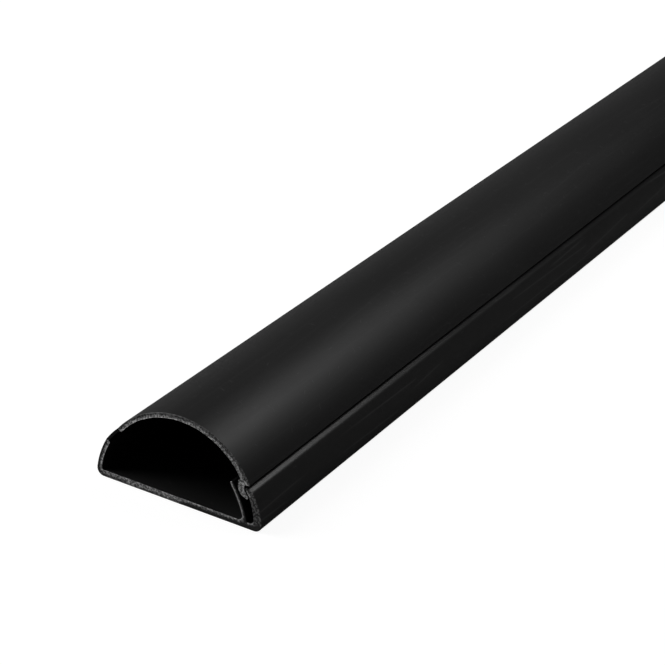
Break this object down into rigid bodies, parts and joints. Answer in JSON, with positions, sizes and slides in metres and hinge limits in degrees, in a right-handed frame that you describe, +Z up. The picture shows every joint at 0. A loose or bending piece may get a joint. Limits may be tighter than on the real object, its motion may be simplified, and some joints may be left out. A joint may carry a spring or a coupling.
{
  "type": "hinged half-round cable raceway",
  "caption": "Straight black half-round cable cover: a flat-backed channel and a domed lid on a soft hinge strip, with a snap clip along the free edge.",
  "frame": {"origin": "middle of the flat underside, at mid-length", "axes": "+X across the stock towards the clip edge, +Y along its length away from the end that the picture shows, +Z up from the underside to the crown"},
  "size_m": [0.0498, 1, 0.0249],
  "materials": {
    "rigid_black_plastic": "satin extruded rigid PVC",
    "soft_black_plastic": "dull flexible PVC"
  },
  "bodies": {
    "base_body": {"base_channel": "rigid_black_plastic", "hinge_strip": "soft_black_plastic"},
    "lid_body": {"lid": "rigid_black_plastic"}
  },
  "joints": [
    {"name": "lid_hinge", "type": "hinge", "parent": "base_body", "child": "lid_body", "pos_m": [-0.02038, 0, 0.0132], "axis": [0, -1, 0], "range_deg": [0, 120], "deforming": ["hinge_strip"]}
  ]
}
